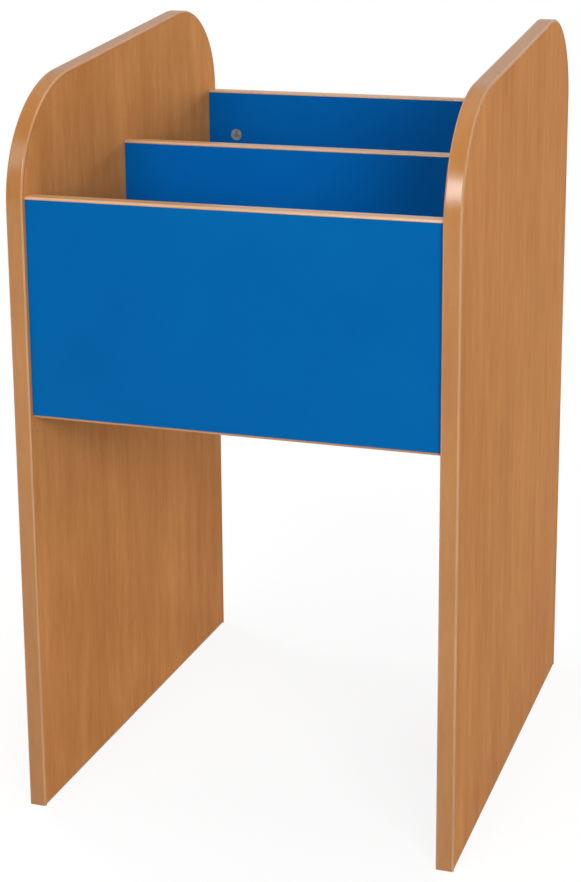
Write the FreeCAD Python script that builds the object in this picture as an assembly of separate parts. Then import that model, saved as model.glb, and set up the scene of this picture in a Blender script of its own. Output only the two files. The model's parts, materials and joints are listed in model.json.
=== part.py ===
"""Picture book browser bin: two beech-faced side panels carrying two book
compartments, one behind and above the other, made of blue panels and base boards.

Millimetres. +Z is up, the open front faces -Y, and the origin is on the floor
under the middle of the unit.
"""
import FreeCAD
import Part
import math
import os

V = FreeCAD.Vector

# ---- overall envelope -------------------------------------------------------
OVERALL_WIDTH = 500.0
OVERALL_DEPTH = 550.0

# ---- side panels ------------------------------------------------------------
SIDE_THICKNESS = 20.0
FRONT_CORNER_HEIGHT = 812.0    # where the sloping top would meet the front edge
REAR_CORNER_HEIGHT = 890.0     # where the sloping top would meet the rear edge
FRONT_CORNER_RADIUS = 140.0
REAR_CORNER_RADIUS = 105.0

# ---- edge lippings ----------------------------------------------------------
LIPPING_THICKNESS = 3.0
ARRIS_RADIUS = 2.5
ARRIS_SHARE = 0.85             # an arris takes no more than this much of the lipping

# ---- panels across the unit -------------------------------------------------
PANEL_THICKNESS = 20.0
FRONT_PANEL_INSET = 6.0        # front panel face behind the front edges of the sides
BACK_PANEL_INSET = 4.0         # back panel face ahead of the rear edges of the sides
FRONT_PANEL_BOTTOM = 460.0
FRONT_PANEL_HEIGHT = 244.0
FRONT_BIN_DEPTH = 233.0        # clear, between the front panel and the divider
DIVIDER_TOP_STEP = 28.0        # divider top above the front panel top
BACK_TOP_STEP = 33.0           # back panel top above the divider top

# ---- base boards ------------------------------------------------------------
BASE_THICKNESS = 20.0
BASE_SETUP = 10.0              # base board underside above the panel's lower edge
REAR_BIN_STEP = 32.0           # rear base board above the front base board

# ---- cam fittings -----------------------------------------------------------
CAM_DIAMETER = 15.0
CAM_PAST_AXIS = 4.5            # cam below the bolt's axis, at the middle of the board
CAM_DISTANCE = 38.0            # cam centre from the inner face of the side panel
CAM_BELOW_TOP = 58.0           # upper cam centre below the panel's upper edge
CAM_ABOVE_BASE = 32.0          # lower cam centre above the base board beside it
CAM_RIM = 0.8                  # width of the raised rim round the drive face
CAM_RIM_DEPTH = 0.6
CAM_DRIVE_LENGTH = 8.0         # cross recess for the screwdriver
CAM_DRIVE_WIDTH = 1.6
CAM_DRIVE_DEPTH = 2.4
BOLT_THREAD_DIAMETER = 6.0
BOLT_THREAD_LENGTH = 11.0
BOLT_COLLAR_DIAMETER = 8.0
BOLT_COLLAR_LENGTH = 2.0
BOLT_SHANK_DIAMETER = 6.0
BOLT_NECK_DIAMETER = 4.0
BOLT_NECK_LENGTH = 4.0
BOLT_HEAD_DIAMETER = 6.6
BOLT_HEAD_LENGTH = 3.6
BOLT_TIP_CHAMFER = 1.2

# ---- dowels -----------------------------------------------------------------
DOWEL_DIAMETER = 8.0
DOWEL_LENGTH = 35.0
DOWEL_IN_FACE = 11.5           # part of the dowel that enters the face of a board
DOWEL_CHAMFER = 1.0
END_DOWEL_FROM_EDGE = 28.0     # dowel from the panel's upper or lower edge
BASE_DOWEL_FROM_EDGE = 36.0    # end dowels from a base board's front and rear edges
LONG_DOWEL_SPACING = 150.0     # dowels along a base board's long edges
LONG_DOWEL_COUNT = 3

# ---- clearances -------------------------------------------------------------
BORE_CLEARANCE = 0.1           # round a dowel, bolt or cam, on the radius
BORE_END_GAP = 0.5             # beyond the end of a dowel or bolt
HEAD_CLEARANCE = 0.3           # round the bolt head inside the cam

# ---- places that follow from the sizes above --------------------------------
INNER_WIDTH = OVERALL_WIDTH - 2 * SIDE_THICKNESS
INNER_HALF = INNER_WIDTH / 2
HALF_DEPTH = OVERALL_DEPTH / 2
TOP_SLOPE = math.atan2(REAR_CORNER_HEIGHT - FRONT_CORNER_HEIGHT, OVERALL_DEPTH)
ARRIS = min(ARRIS_RADIUS, ARRIS_SHARE * LIPPING_THICKNESS)

FRONT_PANEL_Y = -HALF_DEPTH + FRONT_PANEL_INSET
DIVIDER_Y = FRONT_PANEL_Y + PANEL_THICKNESS + FRONT_BIN_DEPTH
BACK_PANEL_Y = HALF_DEPTH - BACK_PANEL_INSET - PANEL_THICKNESS

FRONT_PANEL_TOP = FRONT_PANEL_BOTTOM + FRONT_PANEL_HEIGHT
DIVIDER_TOP = FRONT_PANEL_TOP + DIVIDER_TOP_STEP
BACK_PANEL_TOP = DIVIDER_TOP + BACK_TOP_STEP
BACK_PANEL_BOTTOM = FRONT_PANEL_BOTTOM + REAR_BIN_STEP
FRONT_BASE_Z = FRONT_PANEL_BOTTOM + BASE_SETUP
REAR_BASE_Z = FRONT_BASE_Z + REAR_BIN_STEP

LEFT = -1
RIGHT = 1
X_AXIS = V(1, 0, 0)
Y_AXIS = V(0, 1, 0)
Z_AXIS = V(0, 0, 1)


# ---- small helpers ----------------------------------------------------------
def box(x0, x1, y0, y1, z0, z1):
    """A box between two corners."""
    return Part.makeBox(x1 - x0, y1 - y0, z1 - z0, V(x0, y0, z0))


def rod(start, axis, diameter, length):
    """A plain cylinder from a point along a direction."""
    return Part.makeCylinder(diameter / 2, length, start, axis)


def chamfered_rod(start, axis, diameter, length, chamfer, both_ends):
    """A cylinder with its far end, or both ends, chamfered."""
    tip = Part.makeCone(diameter / 2, diameter / 2 - chamfer, chamfer,
                        start + axis * (length - chamfer), axis)
    if not both_ends:
        return rod(start, axis, diameter, length - chamfer).fuse(tip).removeSplitter()
    tail = Part.makeCone(diameter / 2 - chamfer, diameter / 2, chamfer, start, axis)
    middle = rod(start + axis * chamfer, axis, diameter, length - 2 * chamfer)
    return middle.fuse([tip, tail]).removeSplitter()


def save(name, solids):
    """Write one node: a single solid, or a group of separate solids."""
    shape = solids[0] if len(solids) == 1 else Part.makeCompound(solids)
    shape.exportStep("parts/" + name + ".step")


# ---- side panels ------------------------------------------------------------
def side_profile(inset, bottom):
    """Outline of a side panel in the YZ plane, set in from its true edge.

    Both top corners are arcs tangent to the upright edge and the sloping top.
    """
    front_y = -HALF_DEPTH
    rear_y = HALF_DEPTH
    front_tangent = FRONT_CORNER_RADIUS / math.tan(math.pi / 4 + TOP_SLOPE / 2)
    rear_tangent = REAR_CORNER_RADIUS / math.tan(math.pi / 4 - TOP_SLOPE / 2)
    front_centre = V(0, front_y + FRONT_CORNER_RADIUS, FRONT_CORNER_HEIGHT - front_tangent)
    rear_centre = V(0, rear_y - REAR_CORNER_RADIUS, REAR_CORNER_HEIGHT - rear_tangent)
    front_radius = FRONT_CORNER_RADIUS - inset
    rear_radius = REAR_CORNER_RADIUS - inset

    def on_arc(centre, radius, angle):
        return centre + V(0, math.cos(angle), math.sin(angle)) * radius

    square_to_top = math.pi / 2 + TOP_SLOPE
    front_low = on_arc(front_centre, front_radius, math.pi)
    front_mid = on_arc(front_centre, front_radius, (math.pi + square_to_top) / 2)
    front_high = on_arc(front_centre, front_radius, square_to_top)
    rear_high = on_arc(rear_centre, rear_radius, square_to_top)
    rear_mid = on_arc(rear_centre, rear_radius, square_to_top / 2)
    rear_low = on_arc(rear_centre, rear_radius, 0)
    foot_front = V(0, front_y + inset, bottom)
    foot_rear = V(0, rear_y - inset, bottom)
    edges = [
        Part.LineSegment(foot_front, front_low).toShape(),
        Part.Arc(front_low, front_mid, front_high).toShape(),
        Part.LineSegment(front_high, rear_high).toShape(),
        Part.Arc(rear_high, rear_mid, rear_low).toShape(),
        Part.LineSegment(rear_low, foot_rear).toShape(),
        Part.LineSegment(foot_rear, foot_front).toShape(),
    ]
    return Part.Face(Part.Wire(edges))


def side_slab(side, inset, bottom):
    """The side panel's outline given the board's thickness."""
    inner_x = side * INNER_HALF
    slab = side_profile(inset, bottom).extrude(V(side * SIDE_THICKNESS, 0, 0))
    slab.translate(V(inner_x, 0, 0))
    return slab


def side_faces():
    """The X places of a right-hand board's inner and outer faces."""
    return (INNER_HALF, INNER_HALF + SIDE_THICKNESS)


def on_side_face(edge):
    """True for an edge that lies in a face plane of either side board."""
    bounds = edge.BoundBox
    return bounds.XLength < 1e-6 and any(
        abs(abs(bounds.XMin) - face) < 1e-6 for face in side_faces())


def side_edge_lipping(side):
    """One strip round the front, top and rear edges, its arrises rounded."""
    outer = side_slab(side, 0, 0)
    arrises = [e for e in outer.Edges if on_side_face(e) and e.BoundBox.ZMax > 1e-6]
    rounded = outer.makeFillet(ARRIS, arrises)
    return rounded.cut(side_slab(side, LIPPING_THICKNESS, 0))


def side_bottom_lipping(side):
    """The strip under a side panel, between the ends of the edge lipping."""
    x0, x1 = sorted((side * INNER_HALF, side * (INNER_HALF + SIDE_THICKNESS)))
    reach = HALF_DEPTH - LIPPING_THICKNESS
    strip = box(x0, x1, -reach, reach, 0, LIPPING_THICKNESS)
    arrises = [e for e in strip.Edges
               if e.BoundBox.YLength > reach and e.BoundBox.ZMax < 1e-6]
    return strip.makeFillet(ARRIS, arrises)


# ---- panels and base boards -------------------------------------------------
def panel_board(front_y, bottom, top):
    """A panel's board, less the lippings on its upper and lower edges."""
    return box(-INNER_HALF, INNER_HALF, front_y, front_y + PANEL_THICKNESS,
               bottom + LIPPING_THICKNESS, top - LIPPING_THICKNESS)


def panel_lipping(front_y, outer_z, inward):
    """A panel's edge strip; inward is +1 above a lower edge, -1 below an upper one."""
    low, high = sorted((outer_z, outer_z + inward * LIPPING_THICKNESS))
    strip = box(-INNER_HALF, INNER_HALF, front_y, front_y + PANEL_THICKNESS, low, high)
    arrises = [e for e in strip.Edges
               if e.BoundBox.XLength > INNER_HALF and abs(e.BoundBox.ZMin - outer_z) < 1e-6]
    return strip.makeFillet(ARRIS, arrises)


def base_board(front_y, rear_y, bottom):
    """A base board held between two panels and the two sides."""
    return box(-INNER_HALF, INNER_HALF, front_y, rear_y, bottom, bottom + BASE_THICKNESS)


# ---- cam fittings -----------------------------------------------------------
def cam_housing(side, y, z, fittings):
    """A cam let into a board's face, open on the side where the bolt comes in.

    (y, z) is the bolt's axis, midway through the board.
    """
    face = fittings["face"]
    board_half = fittings["thickness"] / 2
    toward_bolt = X_AXIS * side
    centre = V(side * (INNER_HALF - CAM_DISTANCE), y, z)
    outside = centre + face * board_half
    body = rod(outside, -face, CAM_DIAMETER, board_half + CAM_PAST_AXIS)
    dish = rod(outside, -face, CAM_DIAMETER - 2 * CAM_RIM, CAM_RIM_DEPTH)
    bars = [cross_bar(outside, face, turn) for turn in (0, 90)]
    pocket_diameter = BOLT_HEAD_DIAMETER + 2 * HEAD_CLEARANCE
    pocket_start = centre - toward_bolt * (BOLT_HEAD_LENGTH / 2 + HEAD_CLEARANCE)
    pocket = rod(pocket_start, toward_bolt, pocket_diameter, CAM_DIAMETER)
    return body.cut([dish, pocket] + bars)


def cross_bar(outside, face, turn):
    """One arm pair of the drive recess in a cam's face."""
    half = CAM_DRIVE_LENGTH / 2
    depth = CAM_RIM_DEPTH + CAM_DRIVE_DEPTH
    bar = box(-half, half, -CAM_DRIVE_WIDTH / 2, CAM_DRIVE_WIDTH / 2, -depth, 0)
    bar.rotate(V(0, 0, 0), Z_AXIS, turn)
    bar.Placement = FreeCAD.Placement(outside, FreeCAD.Rotation(Z_AXIS, face)).multiply(bar.Placement)
    return bar


def cam_bolt(side, y, z):
    """Threaded into the side panel, with its head in the cam."""
    inward = X_AXIS * -side
    seat = V(side * INNER_HALF, y, z)
    head_start = CAM_DISTANCE - BOLT_HEAD_LENGTH / 2
    neck_start = head_start - BOLT_NECK_LENGTH
    thread = chamfered_rod(seat, -inward, BOLT_THREAD_DIAMETER, BOLT_THREAD_LENGTH,
                           BOLT_TIP_CHAMFER, False)
    collar = rod(seat, inward, BOLT_COLLAR_DIAMETER, BOLT_COLLAR_LENGTH)
    shank = rod(seat, inward, BOLT_SHANK_DIAMETER, neck_start)
    neck = rod(seat, inward, BOLT_NECK_DIAMETER, CAM_DISTANCE)
    head = rod(seat + inward * head_start, inward, BOLT_HEAD_DIAMETER, BOLT_HEAD_LENGTH)
    return thread.fuse([collar, shank, neck, head]).removeSplitter()


def cam_bores(side, y, z, fittings):
    """What a board loses to one cam and its bolt."""
    face = fittings["face"]
    board_half = fittings["thickness"] / 2
    inward = X_AXIS * -side
    centre = V(side * (INNER_HALF - CAM_DISTANCE), y, z)
    pocket = rod(centre + face * board_half, -face, CAM_DIAMETER + 2 * BORE_CLEARANCE,
                 board_half + CAM_PAST_AXIS + BORE_CLEARANCE)
    bore = rod(V(side * INNER_HALF, y, z), inward,
               BOLT_COLLAR_DIAMETER + 2 * BORE_CLEARANCE, CAM_DISTANCE)
    return [pocket, bore]


def bolt_hole(side, y, z):
    """The hole in a side panel's inner face for a bolt's thread."""
    return rod(V(side * INNER_HALF, y, z), X_AXIS * side,
               BOLT_THREAD_DIAMETER + 2 * BORE_CLEARANCE, BOLT_THREAD_LENGTH + BORE_END_GAP)


# ---- dowels -----------------------------------------------------------------
def dowel(seat, into_edge):
    """A dowel across the joint at seat; into_edge points into the board's edge."""
    start = seat - into_edge * DOWEL_IN_FACE
    return chamfered_rod(start, into_edge, DOWEL_DIAMETER, DOWEL_LENGTH, DOWEL_CHAMFER, True)


def dowel_hole_in_face(seat, into_edge):
    """The dowel's hole in the face of the board it butts against."""
    return rod(seat, -into_edge, DOWEL_DIAMETER + 2 * BORE_CLEARANCE,
               DOWEL_IN_FACE + BORE_END_GAP)


def dowel_hole_in_edge(seat, into_edge):
    """The dowel's hole in the edge of the board that carries it."""
    return rod(seat, into_edge, DOWEL_DIAMETER + 2 * BORE_CLEARANCE,
               DOWEL_LENGTH - DOWEL_IN_FACE + BORE_END_GAP)


# ---- boards that span the unit, with the fittings at their ends -------------
def panel_fittings(front_y, bottom, top, cam_face, base_z):
    """A panel's cam and end dowel axes as (y, z) places, with the face the cams are in.

    base_z is the underside of the base board that meets that face.
    """
    y = front_y + PANEL_THICKNESS / 2
    cams = [(y, base_z + BASE_THICKNESS + CAM_ABOVE_BASE), (y, top - CAM_BELOW_TOP)]
    dowels = [(y, bottom + END_DOWEL_FROM_EDGE), (y, top - END_DOWEL_FROM_EDGE)]
    return {"cams": cams, "dowels": dowels, "face": cam_face, "thickness": PANEL_THICKNESS}


def base_fittings(front_y, rear_y, bottom):
    """The same for a base board, with its cams in the underside."""
    y = (front_y + rear_y) / 2
    z = bottom + BASE_THICKNESS / 2
    dowels = [(front_y + BASE_DOWEL_FROM_EDGE, z), (rear_y - BASE_DOWEL_FROM_EDGE, z)]
    return {"cams": [(y, z)], "dowels": dowels, "face": -Z_AXIS, "thickness": BASE_THICKNESS}


def end_dowel_seats(fittings):
    """Every dowel place at a board's two ends, with the way into the board."""
    return [(V(side * INNER_HALF, y, z), X_AXIS * -side)
            for side in (LEFT, RIGHT) for y, z in fittings["dowels"]]


def long_dowel_seats(y, z, into_edge):
    """Dowel places along one long edge of a base board."""
    middle = (LONG_DOWEL_COUNT - 1) / 2
    return [(V((i - middle) * LONG_DOWEL_SPACING, y, z), into_edge)
            for i in range(LONG_DOWEL_COUNT)]


def end_bores(fittings):
    """Everything bored into a spanning board for its end fittings."""
    bores = [dowel_hole_in_edge(seat, way) for seat, way in end_dowel_seats(fittings)]
    for side in (LEFT, RIGHT):
        for y, z in fittings["cams"]:
            bores += cam_bores(side, y, z, fittings)
    return bores


def save_fittings(name, fittings):
    """The cams, bolts and end dowels of one spanning board."""
    places = [(side, y, z) for side in (LEFT, RIGHT) for y, z in fittings["cams"]]
    save(name + "_cam_housings", [cam_housing(side, y, z, fittings) for side, y, z in places])
    save(name + "_cam_bolts", [cam_bolt(side, y, z) for side, y, z in places])
    save(name + "_end_dowels", [dowel(seat, way) for seat, way in end_dowel_seats(fittings)])


# ---- the whole unit ---------------------------------------------------------
PANELS = {
    "front_panel": (FRONT_PANEL_Y, FRONT_PANEL_BOTTOM, FRONT_PANEL_TOP, Y_AXIS, FRONT_BASE_Z),
    "middle_divider": (DIVIDER_Y, FRONT_PANEL_BOTTOM, DIVIDER_TOP, Y_AXIS, REAR_BASE_Z),
    "back_panel": (BACK_PANEL_Y, BACK_PANEL_BOTTOM, BACK_PANEL_TOP, -Y_AXIS, REAR_BASE_Z),
}
BASES = {
    "front_base_board": (FRONT_PANEL_Y + PANEL_THICKNESS, DIVIDER_Y, FRONT_BASE_Z),
    "rear_base_board": (DIVIDER_Y + PANEL_THICKNESS, BACK_PANEL_Y, REAR_BASE_Z),
}


def base_edge_dowels(base):
    """Dowel places along a base board's front and rear edges."""
    front_y, rear_y, bottom = BASES[base]
    z = bottom + BASE_THICKNESS / 2
    return long_dowel_seats(front_y, z, Y_AXIS) + long_dowel_seats(rear_y, z, -Y_AXIS)


def holes_for_base_dowels(front_y):
    """Holes in a panel's faces for the base boards' edge dowels that meet it."""
    faces = (front_y, front_y + PANEL_THICKNESS)
    return [dowel_hole_in_face(seat, way)
            for base in BASES for seat, way in base_edge_dowels(base)
            if any(abs(seat.y - face) < 1e-6 for face in faces)]


def make_side(side, name, all_fittings):
    """A side panel with its holes, and its lippings."""
    holes = []
    for fittings in all_fittings:
        holes += [bolt_hole(side, y, z) for y, z in fittings["cams"]]
        holes += [dowel_hole_in_face(V(side * INNER_HALF, y, z), X_AXIS * -side)
                  for y, z in fittings["dowels"]]
    board = side_slab(side, LIPPING_THICKNESS, LIPPING_THICKNESS)
    save(name + "_side_panel", [board.cut(holes)])
    save(name + "_side_edge_lipping", [side_edge_lipping(side)])
    save(name + "_side_bottom_lipping", [side_bottom_lipping(side)])


def make_panel(name, fittings):
    """A panel with its bores, lippings and fittings."""
    front_y, bottom, top = PANELS[name][:3]
    board = panel_board(front_y, bottom, top)
    save(name, [board.cut(end_bores(fittings) + holes_for_base_dowels(front_y))])
    save(name + "_top_lipping", [panel_lipping(front_y, top, -1)])
    save(name + "_bottom_lipping", [panel_lipping(front_y, bottom, 1)])
    save_fittings(name, fittings)


def make_base(name, fittings):
    """A base board with its bores, fittings and edge dowels."""
    seats = base_edge_dowels(name)
    bores = end_bores(fittings) + [dowel_hole_in_edge(seat, way) for seat, way in seats]
    save(name, [base_board(*BASES[name]).cut(bores)])
    save_fittings(name, fittings)
    save(name + "_edge_dowels", [dowel(seat, way) for seat, way in seats])


def main():
    """Build and write every node."""
    os.makedirs("parts", exist_ok=True)
    panel_sets = {name: panel_fittings(*place) for name, place in PANELS.items()}
    base_sets = {name: base_fittings(*place) for name, place in BASES.items()}
    all_fittings = list(panel_sets.values()) + list(base_sets.values())
    make_side(LEFT, "left", all_fittings)
    make_side(RIGHT, "right", all_fittings)
    for name, fittings in panel_sets.items():
        make_panel(name, fittings)
    for name, fittings in base_sets.items():
        make_base(name, fittings)


main()
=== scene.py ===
"""Looks of a picture book browser bin: woodgrain side panels with rounded beech
edging, blue faced panels and zinc cam fittings, on a pale studio floor.

Metres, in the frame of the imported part: +Z is up and the open front faces -Y.
"""
import json
import math

import bmesh
import bpy
from mathutils import Matrix, Vector


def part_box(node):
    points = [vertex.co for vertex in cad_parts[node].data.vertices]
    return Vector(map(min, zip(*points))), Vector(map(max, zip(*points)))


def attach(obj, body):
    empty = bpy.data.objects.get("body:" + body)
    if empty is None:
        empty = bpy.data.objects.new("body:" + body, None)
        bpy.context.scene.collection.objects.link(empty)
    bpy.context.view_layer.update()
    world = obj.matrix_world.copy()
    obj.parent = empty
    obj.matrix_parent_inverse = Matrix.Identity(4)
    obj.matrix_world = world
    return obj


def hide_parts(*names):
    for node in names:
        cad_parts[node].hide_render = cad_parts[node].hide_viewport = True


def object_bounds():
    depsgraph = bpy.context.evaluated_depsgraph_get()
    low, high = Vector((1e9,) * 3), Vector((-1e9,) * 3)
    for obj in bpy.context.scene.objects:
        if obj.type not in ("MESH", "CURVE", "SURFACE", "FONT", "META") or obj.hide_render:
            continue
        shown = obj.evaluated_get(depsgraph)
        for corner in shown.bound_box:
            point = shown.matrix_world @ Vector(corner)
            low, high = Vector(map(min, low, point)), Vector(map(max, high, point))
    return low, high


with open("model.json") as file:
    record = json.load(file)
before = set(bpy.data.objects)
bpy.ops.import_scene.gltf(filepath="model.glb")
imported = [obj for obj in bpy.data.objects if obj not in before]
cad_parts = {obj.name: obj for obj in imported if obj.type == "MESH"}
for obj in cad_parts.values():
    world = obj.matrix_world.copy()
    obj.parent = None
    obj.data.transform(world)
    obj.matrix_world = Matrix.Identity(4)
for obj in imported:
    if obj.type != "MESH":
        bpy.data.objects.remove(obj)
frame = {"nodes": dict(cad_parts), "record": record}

CAD_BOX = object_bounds()
NODES = frame["nodes"]

# ---- sizes the edging shares with the part's source ---------------------------
FRONT_CORNER_HEIGHT = 0.812    # where the sloping top would meet the front edge
REAR_CORNER_HEIGHT = 0.890     # where the sloping top would meet the rear edge
FRONT_CORNER_RADIUS = 0.140
REAR_CORNER_RADIUS = 0.105
ARRIS = 0.0025                 # radius along the outer edges of every edging strip
JOINT_GROOVE = 0.00015         # hairline where edging meets facing
ARRIS_STEPS = 8
CORNER_STEPS = 64
SHARP_ANGLE = math.radians(35)  # edges that turn more than this stay crisp

# ---- camera: solved from the edges of the photographed object ------------------
PICTURE_WIDTH = 581
PICTURE_HEIGHT = 882
CAMERA_PLACE = Vector((0.6629, -1.9313, 1.0147))
CAMERA_YAW = 0.2885            # towards -X from looking along +Y, radians
CAMERA_PITCH = -0.2129
CAMERA_ROLL = 0.0042
FOCAL_PIXELS = 1764.0
AXIS_PIXEL = (385.0, 280.0)    # where the lens axis meets the picture
SENSOR = 36.0

# ---- light ---------------------------------------------------------------------
AMBIENT = 0.20                 # strength of the world on the object
BACKDROP = 1.0                 # strength of the world where it is seen
MIRRORED_SHARE = 0.58          # how much of the backdrop shows in reflections
ROOM_SIDE = (-0.10, 0.30)      # +Y part of a direction, from the dim room to the backdrop
# Lamps as name, place, point aimed at, side length and watts.
SOFTBOXES = (                  # these show in the rounded corners of the side edging
    ("softbox_front_left", (-0.49, -2.85, 2.08), (0.1, -0.25, 0.70), 0.92, 33),
    ("softbox_left", (-1.65, -2.32, 2.41), (-0.24, -0.20, 0.72), 1.1, 8),
)
FILLS = (                      # these give light without a reflection of their own
    ("key_front_right", (2.30, -3.22, 1.68), (0, 0, 0.5), 1.70, 112),
    ("rear_right", (1.70, 2.94, 1.08), (0, 0, 0.45), 1.3, 63),
    ("rear_left", (-2.9, 1.3, 1.0), (0, 0, 0.45), 1.3, 50),
    ("overhead_front", (0.3, -1.8, 3.4), (0, 0, 0.4), 1.5, 8),
    ("overhead_rear", (1.2, 1.2, 3.4), (0, 0, 0.4), 1.5, 4),
    ("overhead", (0, 0, 3.4), (0, 0, 0.8), 1.5, 33),
)

# ---- stage ---------------------------------------------------------------------
FLOOR_RADIUS = 14.0
FLOOR_SIDES = 96
FLOOR_PALENESS = 0.96          # the floor's own colour where it is seen
FLOOR_BOUNCE = 0.55            # how much light the floor throws back on the object
SHADOW_SHARE = 0.13            # how much of the floor's own shading shows near the object
SHADOW_REACH = (0.8, 2.4)      # that shading fades to plain white between these


def srgb(red, green, blue):
    """A colour given as 0-255 display values, as linear RGBA."""
    def linear(value):
        value /= 255
        return value / 12.92 if value <= 0.04045 else ((value + 0.055) / 1.055) ** 2.4
    return (linear(red), linear(green), linear(blue), 1.0)


def grey(value):
    """A linear grey as RGBA."""
    return (value, value, value, 1.0)


# ---- colours -------------------------------------------------------------------
# Beech tones are dark, middle and light.
BEECH_TONES = (srgb(167, 107, 54), srgb(183, 123, 69), srgb(198, 138, 83))
EDGING_TONES = (srgb(151, 97, 46), srgb(161, 107, 55), srgb(170, 117, 64))
# The panels' top strips: the same edging painted paler, standing in for light falling on their tops.
PAINTED_TOP_LIGHT_EDGING_TONES = (srgb(170, 128, 90), srgb(182, 140, 102), srgb(193, 152, 114))
DOWEL_TONES = (srgb(190, 146, 100), srgb(208, 168, 122), srgb(222, 188, 146))
# Painted highlight colour along the edging's rounded arrises.
ARRIS_HIGHLIGHT_TONE = srgb(214, 170, 128)
FRONT_BLUES = (srgb(0, 83, 144), srgb(0, 89, 150))
# The inner boards' blue is more violet: painted shade colour, so that their shaded parts read navy.
PAINTED_SHADE_BLUES = (srgb(0, 85, 157), srgb(0, 90, 163))
ZINC_GREYS = (srgb(138, 139, 144), srgb(172, 170, 168))
STEEL_GREYS = (srgb(178, 180, 186), srgb(206, 207, 210))

# ---- beech print ---------------------------------------------------------------
# Features per metre, along the grain and across it.
WANDER = (2.2, 9.0)
BANDS = (3.2, 14.0)
STREAKS = (10.0, 56.0)
FINE_LINES = (36.0, 240.0)
FLECKS = (150.0, 1500.0)
WANDER_WIDTH = 0.016           # how far the grain strays sideways, metres
BAND_WEIGHT, STREAK_WEIGHT, FINE_WEIGHT = 0.42, 0.38, 0.20
GRAIN_RANGE = (0.30, 0.70)     # grain tones that print darkest and palest
FLECK_RANGE = (0.60, 0.72)     # noise at which a fleck starts and is full
FLECK_SHARE = 0.5              # how much of a fleck's own colour shows
FLECK_DARKENING = 0.80         # that colour, beside the middle tone
BOARD_TONES_WITH_PAINTED_FILL = (0.524, 0.460)   # mean grain tone of the left and the right side board; the left is painted lighter, standing in for light on its shaded inner face
BOARD_GAP = (-0.1, 0.1)        # X between the two side boards, where one tone gives way
ARRIS_HIGHLIGHT_SHARE = 0.36          # share of the painted highlight tone along an arris
ARRIS_HIGHLIGHT_UNEVENNESS = (0.6, 1.2)  # that share varies between these times itself
ARRIS_HIGHLIGHT_TONE_RANGE = (0.35, 0.65)

# ---- surfaces ------------------------------------------------------------------
NOISE_SPREAD = (0.3, 0.7)      # where most values of a noise lie
BOARD_ROUGHNESS = (0.60, 0.72)
EDGING_ROUGHNESS = (0.21, 0.27)
BLUE_ROUGHNESS = (0.38, 0.46)
ZINC_ROUGHNESS = (0.38, 0.55)
STEEL_ROUGHNESS = (0.22, 0.36)
BOARD_RELIEF = 0.00006         # depths of the surface's relief, metres
EDGING_RELIEF = 0.00004
BLUE_RELIEF = 0.00005
ZINC_RELIEF = 0.00005
STEEL_RELIEF = 0.00003
DOWEL_RELIEF = 0.00008
PAINTED_SHADE_BLUE_FROM_Y = (-0.24, -0.10)  # between the front panel and the boards behind it, where the blue turns to the painted shade blue


# ---- node helpers --------------------------------------------------------------
def node(tree, kind, inputs=None, **settings):
    """One shader node; an input given as a socket is linked, otherwise it is set."""
    made = tree.nodes.new(kind)
    for name, value in settings.items():
        setattr(made, name, value)
    for key, value in (inputs or {}).items():
        if isinstance(value, bpy.types.NodeSocket):
            tree.links.new(value, made.inputs[key])
        else:
            made.inputs[key].default_value = value
    return made


def new_material(name, **shader_inputs):
    """A material whose Principled shader has its plain numbers set."""
    material = bpy.data.materials.new(name)
    material.use_nodes = True
    shader = material.node_tree.nodes["Principled BSDF"]
    for key, value in shader_inputs.items():
        shader.inputs[key.replace("_", " ")].default_value = value
    return material, material.node_tree, shader


def connect(tree, shader, colour, roughness, normal):
    """Link the three sockets that vary over a surface."""
    tree.links.new(colour, shader.inputs["Base Color"])
    tree.links.new(roughness, shader.inputs["Roughness"])
    tree.links.new(normal, shader.inputs["Normal"])


def object_place(tree):
    """A point's place in metres, in the part's frame."""
    return node(tree, "ShaderNodeTexCoord").outputs["Object"]


def noise(tree, place, frequency, detail=2.0, roughness=0.5):
    """Noise from 0 to 1, with that many features per metre along each axis."""
    mapped = node(tree, "ShaderNodeMapping", {"Vector": place, "Scale": frequency})
    made = node(tree, "ShaderNodeTexNoise", {"Vector": mapped.outputs["Vector"], "Scale": 1.0,
                                             "Detail": detail, "Roughness": roughness})
    return made.outputs["Fac"]


def math_node(tree, operation, first, second):
    """One operation on two numbers or sockets."""
    return node(tree, "ShaderNodeMath", {0: first, 1: second}, operation=operation).outputs[0]


def largest(tree, first, second, third):
    """The largest of three sockets."""
    return math_node(tree, "MAXIMUM", math_node(tree, "MAXIMUM", first, second), third)


def weighted_sum(tree, parts):
    """Sum of (socket, weight) pairs."""
    total = 0.0
    for socket, weight in parts:
        total = math_node(tree, "ADD", total, math_node(tree, "MULTIPLY", socket, weight))
    return total


def ramp(tree, value, stops):
    """A colour ramp with (position, colour) stops."""
    made = node(tree, "ShaderNodeValToRGB", {"Fac": value})
    elements = made.color_ramp.elements
    for index, (position, colour) in enumerate(stops):
        element = elements[index] if index < 2 else elements.new(position)
        element.position = position
        element.color = colour
    return made.outputs["Color"]


def mix_colour(tree, share, first, second):
    """The first colour, turning into the second as share goes from 0 to 1."""
    made = node(tree, "ShaderNodeMix", {"Factor": share, "A": first, "B": second},
                data_type="RGBA")
    return made.outputs[2]


def mix_shader(tree, share, first, second):
    """The first shader, turning into the second as share goes from 0 to 1."""
    return node(tree, "ShaderNodeMixShader",
                {0: share, 1: first.outputs[0], 2: second.outputs[0]})


def remap(tree, value, source, target):
    """value spread from the source range over the target range, clamped."""
    return node(tree, "ShaderNodeMapRange",
                {"Value": value, "From Min": source[0], "From Max": source[1],
                 "To Min": target[0], "To Max": target[1]}).outputs["Result"]


def bump(tree, height, distance):
    """Relief of the surface, with that depth in metres."""
    return node(tree, "ShaderNodeBump",
                {"Height": height, "Distance": distance, "Strength": 1.0}).outputs["Normal"]


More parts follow.
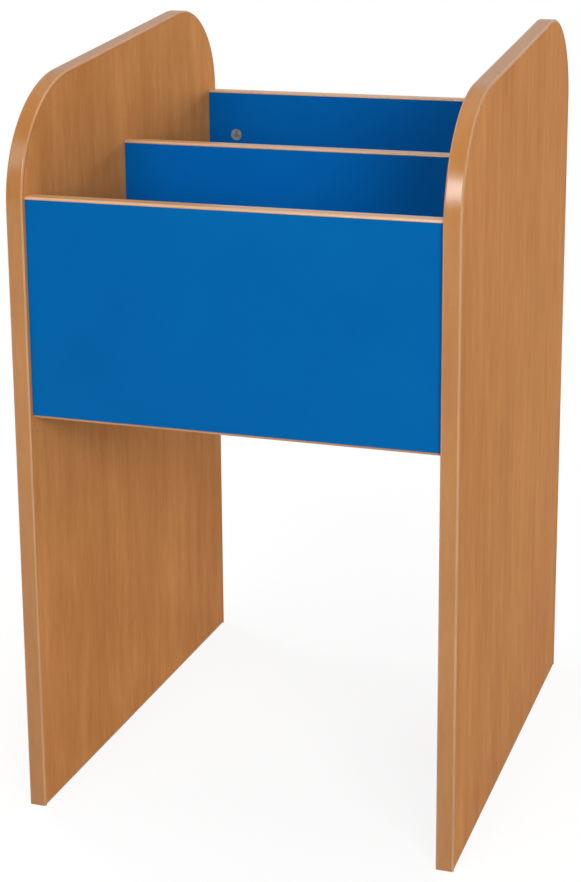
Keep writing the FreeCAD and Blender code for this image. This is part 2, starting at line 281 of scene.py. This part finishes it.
# ---- materials -----------------------------------------------------------------
def beech_tone(tree, place, along, across):
    """Beech grain tone, fine lines and flecks, each from 0 to 1.

    along and across are the indexes of the axes along and across the grain.
    """
    def grain(where, frequency, detail):
        scales = [frequency[1]] * 3
        scales[along] = frequency[0]
        return noise(tree, where, scales, detail)
    wander = grain(place, WANDER, 2.0)
    sideways = [0.0, 0.0, 0.0]
    sideways[across] = 1.0
    stray = math_node(tree, "MULTIPLY", math_node(tree, "SUBTRACT", wander, 0.5), WANDER_WIDTH)
    sway = node(tree, "ShaderNodeVectorMath", {0: sideways, "Scale": stray},
                operation="SCALE").outputs["Vector"]
    swayed = node(tree, "ShaderNodeVectorMath", {0: place, 1: sway},
                  operation="ADD").outputs["Vector"]
    bands = grain(swayed, BANDS, 2.0)
    streaks = grain(swayed, STREAKS, 3.0)
    fine = grain(swayed, FINE_LINES, 4.0)
    tone = weighted_sum(tree, [(bands, BAND_WEIGHT), (streaks, STREAK_WEIGHT), (fine, FINE_WEIGHT)])
    flecks = remap(tree, grain(swayed, FLECKS, 1.0), FLECK_RANGE, (0.0, 1.0))
    return tone, fine, flecks


def beech_colour(tree, tone, flecks, tones):
    """The tone as a beech colour, with darker flecks."""
    dark, middle, light = tones
    plain = ramp(tree, remap(tree, tone, GRAIN_RANGE, (0.0, 1.0)),
                 [(0.0, dark), (1.0, light), (0.5, middle)])
    fleck = tuple(part * FLECK_DARKENING for part in middle[:3]) + (1.0,)
    return mix_colour(tree, math_node(tree, "MULTIPLY", flecks, FLECK_SHARE), plain, fleck)


def beech_facing():
    """Woodgrain facing of the side boards, its grain upright."""
    material, tree, shader = new_material("beech_facing", Specular_IOR_Level=0.06)
    place = object_place(tree)
    tone, fine, flecks = beech_tone(tree, place, along=2, across=1)
    side = node(tree, "ShaderNodeSeparateXYZ", {"Vector": place}).outputs["X"]
    # The left board is painted lighter: painted light on its shaded inner face.
    board = remap(tree, side, BOARD_GAP, (BOARD_TONES_WITH_PAINTED_FILL[0] - 0.5, BOARD_TONES_WITH_PAINTED_FILL[1] - 0.5))
    colour = beech_colour(tree, math_node(tree, "ADD", tone, board), flecks, BEECH_TONES)
    relief = weighted_sum(tree, [(fine, 0.7), (flecks, -0.3)])
    connect(tree, shader, colour, remap(tree, tone, NOISE_SPREAD, BOARD_ROUGHNESS),
            bump(tree, relief, BOARD_RELIEF))
    return material


def beech_edging(name, tones):
    """Printed edging strip, its grain along it, with a painted highlight along its arrises."""
    material, tree, shader = new_material(name, Specular_IOR_Level=0.6)
    place = node(tree, "ShaderNodeAttribute", attribute_name="strip_place").outputs["Vector"]
    tone, fine, flecks = beech_tone(tree, place, along=0, across=1)
    printed = beech_colour(tree, tone, flecks, tones)
    arris_highlight = node(tree, "ShaderNodeAttribute", attribute_name="arris").outputs["Fac"]
    uneven_highlight = remap(tree, tone, ARRIS_HIGHLIGHT_TONE_RANGE,
                   tuple(share * ARRIS_HIGHLIGHT_SHARE for share in ARRIS_HIGHLIGHT_UNEVENNESS))
    colour = mix_colour(tree, math_node(tree, "MULTIPLY", arris_highlight, uneven_highlight), printed, ARRIS_HIGHLIGHT_TONE)
    connect(tree, shader, colour, remap(tree, tone, NOISE_SPREAD, EDGING_ROUGHNESS),
            bump(tree, fine, EDGING_RELIEF))
    return material


def blue_facing():
    """Plain blue facing with a fine pearl texture; the inner boards get a more violet blue, painted
    shade colour for their shaded parts.
    """
    material, tree, shader = new_material("blue_facing", Specular_IOR_Level=0.04)
    place = object_place(tree)
    clouds = noise(tree, place, (6.0, 6.0, 6.0), detail=4.0, roughness=0.6)
    pearl = noise(tree, place, (900.0, 900.0, 900.0))
    tone = weighted_sum(tree, [(clouds, 0.75), (pearl, 0.25)])
    depth = node(tree, "ShaderNodeSeparateXYZ", {"Vector": place}).outputs["Y"]
    front = ramp(tree, tone, list(zip(NOISE_SPREAD, FRONT_BLUES)))
    inner = ramp(tree, tone, list(zip(NOISE_SPREAD, PAINTED_SHADE_BLUES)))
    colour = mix_colour(tree, remap(tree, depth, PAINTED_SHADE_BLUE_FROM_Y, (0.0, 1.0)), front, inner)
    connect(tree, shader, colour, remap(tree, clouds, NOISE_SPREAD, BLUE_ROUGHNESS),
            bump(tree, pearl, BLUE_RELIEF))
    return material


def cast_zinc():
    """Dull zinc with a faint cast skin."""
    material, tree, shader = new_material("cast_zinc", Metallic=0.45)
    place = object_place(tree)
    blotches = noise(tree, place, (260.0, 260.0, 260.0), detail=3.0)
    skin = noise(tree, place, (1800.0, 1800.0, 1800.0))
    colour = ramp(tree, blotches, list(zip((0.35, 0.65), ZINC_GREYS)))
    connect(tree, shader, colour, remap(tree, blotches, NOISE_SPREAD, ZINC_ROUGHNESS),
            bump(tree, skin, ZINC_RELIEF))
    return material


def plated_steel():
    """Bright zinc-plated steel, brushed round by the thread rolling."""
    material, tree, shader = new_material("plated_steel", Metallic=1.0)
    lines = noise(tree, object_place(tree), (2400.0, 300.0, 300.0))
    colour = ramp(tree, lines, list(zip(NOISE_SPREAD, STEEL_GREYS)))
    connect(tree, shader, colour, remap(tree, lines, NOISE_SPREAD, STEEL_ROUGHNESS),
            bump(tree, lines, STEEL_RELIEF))
    return material


def bare_beech():
    """Turned beech of the dowels."""
    material, tree, shader = new_material("bare_beech", Specular_IOR_Level=0.3)
    tone, fine, flecks = beech_tone(tree, object_place(tree), along=0, across=1)
    connect(tree, shader, beech_colour(tree, tone, flecks, DOWEL_TONES),
            remap(tree, tone, NOISE_SPREAD, BOARD_ROUGHNESS), bump(tree, fine, DOWEL_RELIEF))
    return material


def dress_nodes():
    """Each CAD node's material, by the record's slot."""
    finishes = {
        "beech_board": beech_facing(),
        "blue_board": blue_facing(),
        "beech_lipping": beech_edging("beech_edging", EDGING_TONES),
        "zinc_cam": cast_zinc(),
        "steel_bolt": plated_steel(),
        "beech_dowel": bare_beech(),
    }
    for part in frame["record"]["subparts"]:
        materials = NODES[part["node"]].data.materials
        materials.clear()
        materials.append(finishes[part["material_slot"]])
    return finishes


# ---- edging strips -------------------------------------------------------------
def strip_section(width, thickness):
    """Strip section as (across, depth), with rounded arrises; the outer face is at depth 0."""
    side = [(JOINT_GROOVE, thickness), (0.0, thickness - JOINT_GROOVE)]
    for step in range(ARRIS_STEPS + 1):
        angle = math.pi / 2 * step / ARRIS_STEPS
        side.append((ARRIS * (1 - math.cos(angle)), ARRIS * (1 - math.sin(angle))))
    return side + [(width - across, depth) for across, depth in reversed(side)]


def arris_share(across, depth, width):
    """1 halfway round a rounded arris, falling to 0 where it runs into the flats."""
    from_corner = min(across, width - across)
    if from_corner > ARRIS or depth > ARRIS:
        return 0.0
    angle = math.atan2(ARRIS - depth, ARRIS - from_corner)
    return math.sin(2 * angle)


def sweep_section(mesh_builder, stations, across, width, thickness, seed):
    """Rings of vertices, one for each station of (place, inward way).

    strip_place holds, for each vertex, the distance along the strip, the distance
    round its section and the strip's own number, and the grain follows it. arris
    holds how far up an arris the vertex is.
    """
    section = strip_section(width, thickness)
    round_section = [0.0]
    for before, after in zip(section, section[1:]):
        round_section.append(round_section[-1] + math.dist(before, after))
    place_layer = mesh_builder.verts.layers.float_vector.new("strip_place")
    arris_layer = mesh_builder.verts.layers.float.new("arris")
    rings = []
    travelled = 0.0
    for index, (place, inward) in enumerate(stations):
        if index:
            travelled += (place - stations[index - 1][0]).length
        ring = []
        for (offset, depth), around in zip(section, round_section):
            vertex = mesh_builder.verts.new(place + across * offset + inward * depth)
            vertex[place_layer] = Vector((travelled, around, seed))
            vertex[arris_layer] = arris_share(offset, depth, width)
            ring.append(vertex)
        rings.append(ring)
    return rings


def close_skin(mesh_builder, rings):
    """Faces between the rings and over both ends."""
    count = len(rings[0])
    for ring, following in zip(rings, rings[1:]):
        for i in range(count):
            mesh_builder.faces.new((ring[i], ring[(i + 1) % count],
                                    following[(i + 1) % count], following[i]))
    mesh_builder.faces.new(rings[0])
    mesh_builder.faces.new(reversed(rings[-1]))
    bmesh.ops.recalc_face_normals(mesh_builder, faces=mesh_builder.faces)


def build_strip(name, stations, across, width, thickness, seed):
    """A closed strip with smooth arrises, swept through its stations."""
    mesh_builder = bmesh.new()
    close_skin(mesh_builder, sweep_section(mesh_builder, stations, across, width, thickness, seed))
    mesh = bpy.data.meshes.new(name)
    mesh_builder.to_mesh(mesh)
    mesh_builder.free()
    mesh.polygons.foreach_set("use_smooth", [True] * len(mesh.polygons))
    mesh.set_sharp_from_angle(angle=SHARP_ANGLE)
    piece = bpy.data.objects.new(name, mesh)
    bpy.context.scene.collection.objects.link(piece)
    weighted = piece.modifiers.new("even_normals", "WEIGHTED_NORMAL")
    weighted.keep_sharp = True
    return piece


def side_stations(lowest, highest):
    """Up the front edge, over both rounded corners and down the rear edge."""
    front_y, rear_y = lowest.y, highest.y
    slope = math.atan2(REAR_CORNER_HEIGHT - FRONT_CORNER_HEIGHT, rear_y - front_y)
    front_run = FRONT_CORNER_RADIUS / math.tan(math.pi / 4 + slope / 2)
    rear_run = REAR_CORNER_RADIUS / math.tan(math.pi / 4 - slope / 2)
    corners = [
        (front_y + FRONT_CORNER_RADIUS, FRONT_CORNER_HEIGHT - front_run, FRONT_CORNER_RADIUS,
         math.pi, math.pi / 2 + slope),
        (rear_y - REAR_CORNER_RADIUS, REAR_CORNER_HEIGHT - rear_run, REAR_CORNER_RADIUS,
         math.pi / 2 + slope, 0.0),
    ]
    stations = [(Vector((lowest.x, front_y, lowest.z)), Vector((0, 1, 0)))]
    for centre_y, centre_z, radius, start, end in corners:
        for step in range(CORNER_STEPS + 1):
            angle = start + (end - start) * step / CORNER_STEPS
            way = Vector((0, math.cos(angle), math.sin(angle)))
            stations.append((Vector((lowest.x, centre_y, centre_z)) + way * radius, -way))
    stations.append((Vector((lowest.x, rear_y, lowest.z)), Vector((0, -1, 0))))
    return stations


def finish_strip(piece, lipping, material):
    """Give a strip its material and let it stand for its CAD node."""
    piece.data.materials.append(material)
    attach(piece, "root")
    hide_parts(lipping)


def build_edging(material, painted_top_light_material):
    """Every edging strip, in the place of its CAD node; the panels' top strips are painted paler, as
    painted top light.
    """
    x_way, y_way, z_way = Vector((1, 0, 0)), Vector((0, 1, 0)), Vector((0, 0, 1))
    seed = 0.0
    for side in ("left", "right"):
        lipping = side + "_side_edge_lipping"
        lowest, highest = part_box(lipping)
        board_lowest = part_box(side + "_side_panel")[0]
        strip = build_strip(side + "_side_edging", side_stations(lowest, highest), x_way,
                            highest.x - lowest.x, board_lowest.y - lowest.y, seed)
        finish_strip(strip, lipping, material)
        lipping = side + "_side_bottom_lipping"
        lowest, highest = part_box(lipping)
        ends = [(Vector((lowest.x, y, lowest.z)), z_way) for y in (lowest.y, highest.y)]
        strip = build_strip(side + "_side_foot_edging", ends, x_way,
                            highest.x - lowest.x, highest.z - lowest.z, seed + 1)
        finish_strip(strip, lipping, material)
        seed += 2
    for panel in ("front_panel", "middle_divider", "back_panel"):
        for edge, inward in (("top", -z_way), ("bottom", z_way)):
            lipping = f"{panel}_{edge}_lipping"
            lowest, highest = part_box(lipping)
            outer_z = highest.z if edge == "top" else lowest.z
            ends = [(Vector((x, lowest.y, outer_z)), inward) for x in (lowest.x, highest.x)]
            strip = build_strip(f"{panel}_{edge}_edging", ends, y_way,
                                highest.y - lowest.y, highest.z - lowest.z, seed)
            finish_strip(strip, lipping, painted_top_light_material if edge == "top" else material)
            seed += 1


# ---- floor, world, lamps and camera --------------------------------------------
def floor_material():
    """White where it is seen, with a soft shadow near the object; it throws back less light."""
    material = bpy.data.materials.new("floor_white")
    material.use_nodes = True
    tree = material.node_tree
    tree.nodes.clear()
    path = node(tree, "ShaderNodeLightPath").outputs
    seen = largest(tree, path["Is Camera Ray"], path["Is Glossy Ray"], path["Is Transmission Ray"])
    distance = node(tree, "ShaderNodeVectorMath", {0: object_place(tree)},
                    operation="LENGTH").outputs["Value"]
    plain_share = remap(tree, distance, SHADOW_REACH, (1 - SHADOW_SHARE, 1.0))
    pale = node(tree, "ShaderNodeBsdfDiffuse", {"Color": grey(FLOOR_PALENESS)})
    plain = node(tree, "ShaderNodeEmission", {"Color": grey(1.0), "Strength": BACKDROP})
    bounce = node(tree, "ShaderNodeBsdfDiffuse", {"Color": grey(FLOOR_BOUNCE)})
    shown = mix_shader(tree, plain_share, pale, plain)
    surface = mix_shader(tree, seen, bounce, shown)
    node(tree, "ShaderNodeOutputMaterial", {"Surface": surface.outputs[0]})
    return material


def build_floor():
    """A round floor under the object, wide enough to meet the backdrop unseen."""
    mesh_builder = bmesh.new()
    bmesh.ops.create_circle(mesh_builder, cap_ends=True, segments=FLOOR_SIDES, radius=FLOOR_RADIUS)
    mesh = bpy.data.meshes.new("floor")
    mesh_builder.to_mesh(mesh)
    mesh_builder.free()
    floor = bpy.data.objects.new("floor", mesh)
    bpy.context.scene.collection.objects.link(floor)
    floor.location.z = CAD_BOX[0].z
    mesh.materials.append(floor_material())


def build_world():
    """White where it is seen, mirrored white by the backdrop's side, and soft light elsewhere."""
    world = bpy.data.worlds.new("studio")
    world.use_nodes = True
    bpy.context.scene.world = world
    tree = world.node_tree
    tree.nodes.clear()
    path = node(tree, "ShaderNodeLightPath").outputs
    direction = node(tree, "ShaderNodeTexCoord").outputs["Generated"]
    backwards = node(tree, "ShaderNodeSeparateXYZ", {"Vector": direction}).outputs["Y"]
    mirrored = math_node(tree, "MULTIPLY", path["Is Glossy Ray"],
                         remap(tree, backwards, ROOM_SIDE, (0.0, MIRRORED_SHARE)))
    seen = largest(tree, path["Is Camera Ray"], mirrored, path["Is Transmission Ray"])
    soft = node(tree, "ShaderNodeBackground", {"Color": grey(1.0), "Strength": AMBIENT})
    white = node(tree, "ShaderNodeBackground", {"Color": grey(1.0), "Strength": BACKDROP})
    node(tree, "ShaderNodeOutputWorld", {"Surface": mix_shader(tree, seen, soft, white).outputs[0]})


def area_light(name, place, target, size, power):
    """A square soft light aimed at a point, and itself out of sight."""
    data = bpy.data.lights.new(name, "AREA")
    data.shape = "SQUARE"
    data.size = size
    data.energy = power
    light = bpy.data.objects.new(name, data)
    bpy.context.scene.collection.objects.link(light)
    light.location = place
    light.visible_camera = False
    light.rotation_euler = (Vector(target) - Vector(place)).to_track_quat("-Z", "Y").to_euler()
    return light


def build_lights():
    """The softboxes that the rounded corners mirror, and the fills that nothing mirrors."""
    for lamp in SOFTBOXES:
        area_light(*lamp)
    for lamp in FILLS:
        area_light(*lamp).visible_glossy = False


def build_camera():
    """The lens axis is off the picture's middle, because the photograph's upright
    edges stay nearly parallel although it looks down on the object."""
    data = bpy.data.cameras.new("camera")
    data.sensor_fit = "AUTO"
    data.sensor_width = SENSOR
    data.lens = FOCAL_PIXELS / PICTURE_HEIGHT * SENSOR
    data.shift_x = (PICTURE_WIDTH / 2 - AXIS_PIXEL[0]) / PICTURE_HEIGHT
    data.shift_y = (AXIS_PIXEL[1] - PICTURE_HEIGHT / 2) / PICTURE_HEIGHT
    camera = bpy.data.objects.new("camera", data)
    bpy.context.scene.collection.objects.link(camera)
    turn = (Matrix.Rotation(CAMERA_YAW, 4, "Z") @ Matrix.Rotation(math.pi / 2 + CAMERA_PITCH, 4, "X")
            @ Matrix.Rotation(CAMERA_ROLL, 4, "Z"))
    camera.matrix_world = Matrix.Translation(CAMERA_PLACE) @ turn
    bpy.context.scene.camera = camera


# ---- the scene -----------------------------------------------------------------
bpy.context.scene.view_settings.view_transform = "Standard"
build_camera()
finishes = dress_nodes()
build_edging(finishes["beech_lipping"], beech_edging("beech_edging_painted_top_light", PAINTED_TOP_LIGHT_EDGING_TONES))
build_floor()
build_world()
build_lights()
